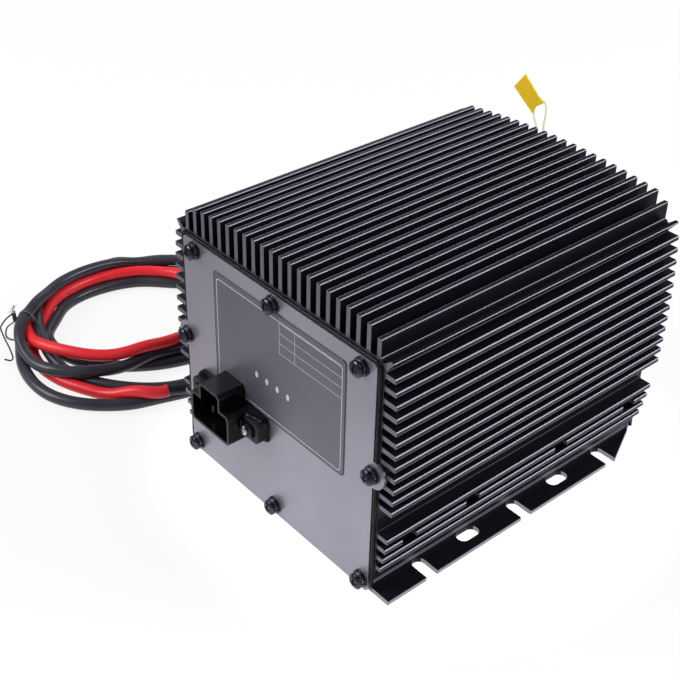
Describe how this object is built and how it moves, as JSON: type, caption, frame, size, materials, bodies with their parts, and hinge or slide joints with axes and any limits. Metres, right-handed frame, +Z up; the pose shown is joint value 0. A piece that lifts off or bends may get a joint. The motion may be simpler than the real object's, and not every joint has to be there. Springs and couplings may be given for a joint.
{
  "type": "battery charger",
  "caption": "Finned black aluminium battery charger with a grey front plate, mains inlet, indicator label, slotted mounting flanges and coiled output leads.",
  "frame": {"origin": "centre of the housing's flat underside, on the surface that the charger stands on", "axes": "+Z up; -Y towards the front plate with the mains inlet; +X to the right as seen from the front"},
  "size_m": [0.363, 0.3377, 0.1907],
  "materials": {
    "anodised_aluminium": "black anodised, satin",
    "black_jacket": "satin flexible jacket",
    "black_plastic": "moulded",
    "blackened_steel": "black oxide",
    "blue_plastic": "moulded",
    "capacitor_sleeve": "shrunk sleeve",
    "circuit_board": "solder mask",
    "clear_lens": "clear, glossy",
    "clear_tie": "coated wire with clear wings",
    "enamelled_copper": "enamelled",
    "ferrite": "sintered, matt",
    "fuse_glass": "ceramic tube",
    "green_plastic": "moulded",
    "heat_pad": "soft pad",
    "iron_powder": "painted",
    "label_film": "satin printed film",
    "plated_brass": "plated",
    "red_jacket": "satin flexible jacket",
    "seal_rubber": "matt",
    "tag_string_plastic": "thin plastic loop",
    "tinned_copper": "tinned",
    "white_nylon": "moulded",
    "yellow_tag": "printed-free film",
    "yellow_tape": "film",
    "zinc_steel": "bright zinc"
  },
  "bodies": {
    "root": {"housing": "anodised_aluminium", "front_plate": "anodised_aluminium", "rear_plate": "anodised_aluminium", "front_gasket": "seal_rubber", "rear_gasket": "seal_rubber", "front_plate_screws": "blackened_steel", "rear_plate_screws": "blackened_steel", "lock_washers": "blackened_steel", "flat_washers": "blackened_steel", "front_label": "label_film", "indicator_lenses": "clear_lens", "indicator_board": "circuit_board", "indicator_lamps": "clear_lens", "indicator_posts": "white_nylon", "inlet_body": "black_plastic", "inlet_spacers": "black_plastic", "inlet_blades": "plated_brass", "inlet_screws": "zinc_steel", "inlet_nuts": "zinc_steel", "main_board": "circuit_board", "board_standoffs": "plated_brass", "board_screws": "zinc_steel", "transformer_core": "ferrite", "transformer_bobbin": "black_plastic", "transformer_winding": "yellow_tape", "input_choke_core": "ferrite", "input_choke_winding": "enamelled_copper", "output_choke_core": "iron_powder", "output_choke_winding": "enamelled_copper", "line_choke_core": "ferrite", "line_choke_winding": "enamelled_copper", "bulk_capacitors": "capacitor_sleeve", "output_capacitors": "capacitor_sleeve", "line_capacitors": "yellow_tape", "fuse": "fuse_glass", "fuse_clips": "plated_brass", "bridge_rectifier": "black_plastic", "power_transistors": "black_plastic", "output_diodes": "black_plastic", "heat_pads": "heat_pad", "clamp_bars": "zinc_steel", "clamp_screws": "zinc_steel", "charge_relay": "blue_plastic", "control_board": "circuit_board", "control_chip": "black_plastic", "terminal_block": "green_plastic", "strain_reliefs": "seal_rubber", "red_lead": "red_jacket", "black_lead": "black_jacket", "signal_lead": "black_jacket", "lead_coil": "black_jacket", "red_sleeve": "black_jacket", "red_terminal": "tinned_copper", "black_sleeve": "black_jacket", "black_terminal": "tinned_copper", "signal_plug": "black_plastic", "coil_tie": "clear_tie", "tag": "yellow_tag", "tag_string": "tag_string_plastic"}
  },
  "joints": []
}
